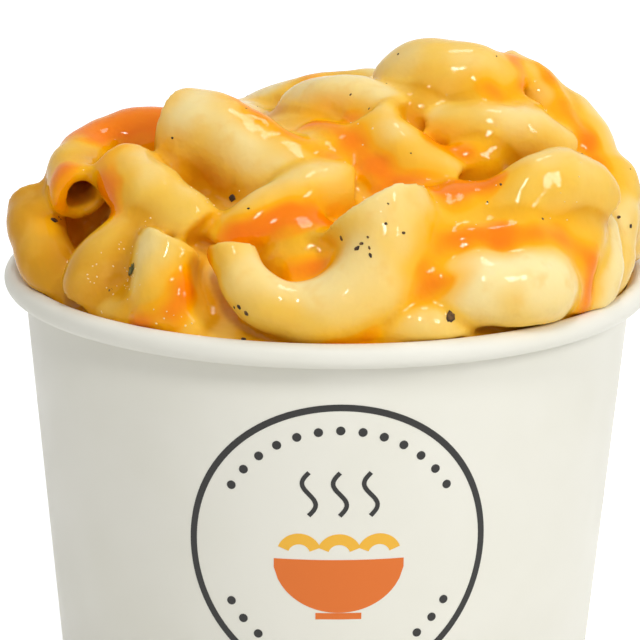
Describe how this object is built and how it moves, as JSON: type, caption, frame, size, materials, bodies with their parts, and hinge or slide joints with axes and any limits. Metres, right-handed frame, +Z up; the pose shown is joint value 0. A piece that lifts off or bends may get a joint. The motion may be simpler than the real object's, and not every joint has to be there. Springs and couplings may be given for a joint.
{
  "type": "macaroni and cheese in paper cup",
  "caption": "Elbow macaroni under melted cheddar sauce, heaped above the rolled rim of a round white paper food cup.",
  "frame": {"origin": "centre of the cup's foot, on the table, which is the bottom centre of the bounding box", "axes": "+Z up along the cup's axis; -Y is the side of the cup with the print; +X is to the right when looking at the print"},
  "size_m": [0.09, 0.09, 0.0917],
  "materials": {
    "paper_sidewall": "smooth coated white board",
    "paper_base": "smooth coated white board",
    "macaroni_and_cheese": "wet cooked pasta coated in melted cheddar"
  },
  "bodies": {
    "root": {"cup_sidewall": "paper_sidewall", "cup_base": "paper_base", "macaroni_heap": "macaroni_and_cheese"}
  },
  "joints": []
}
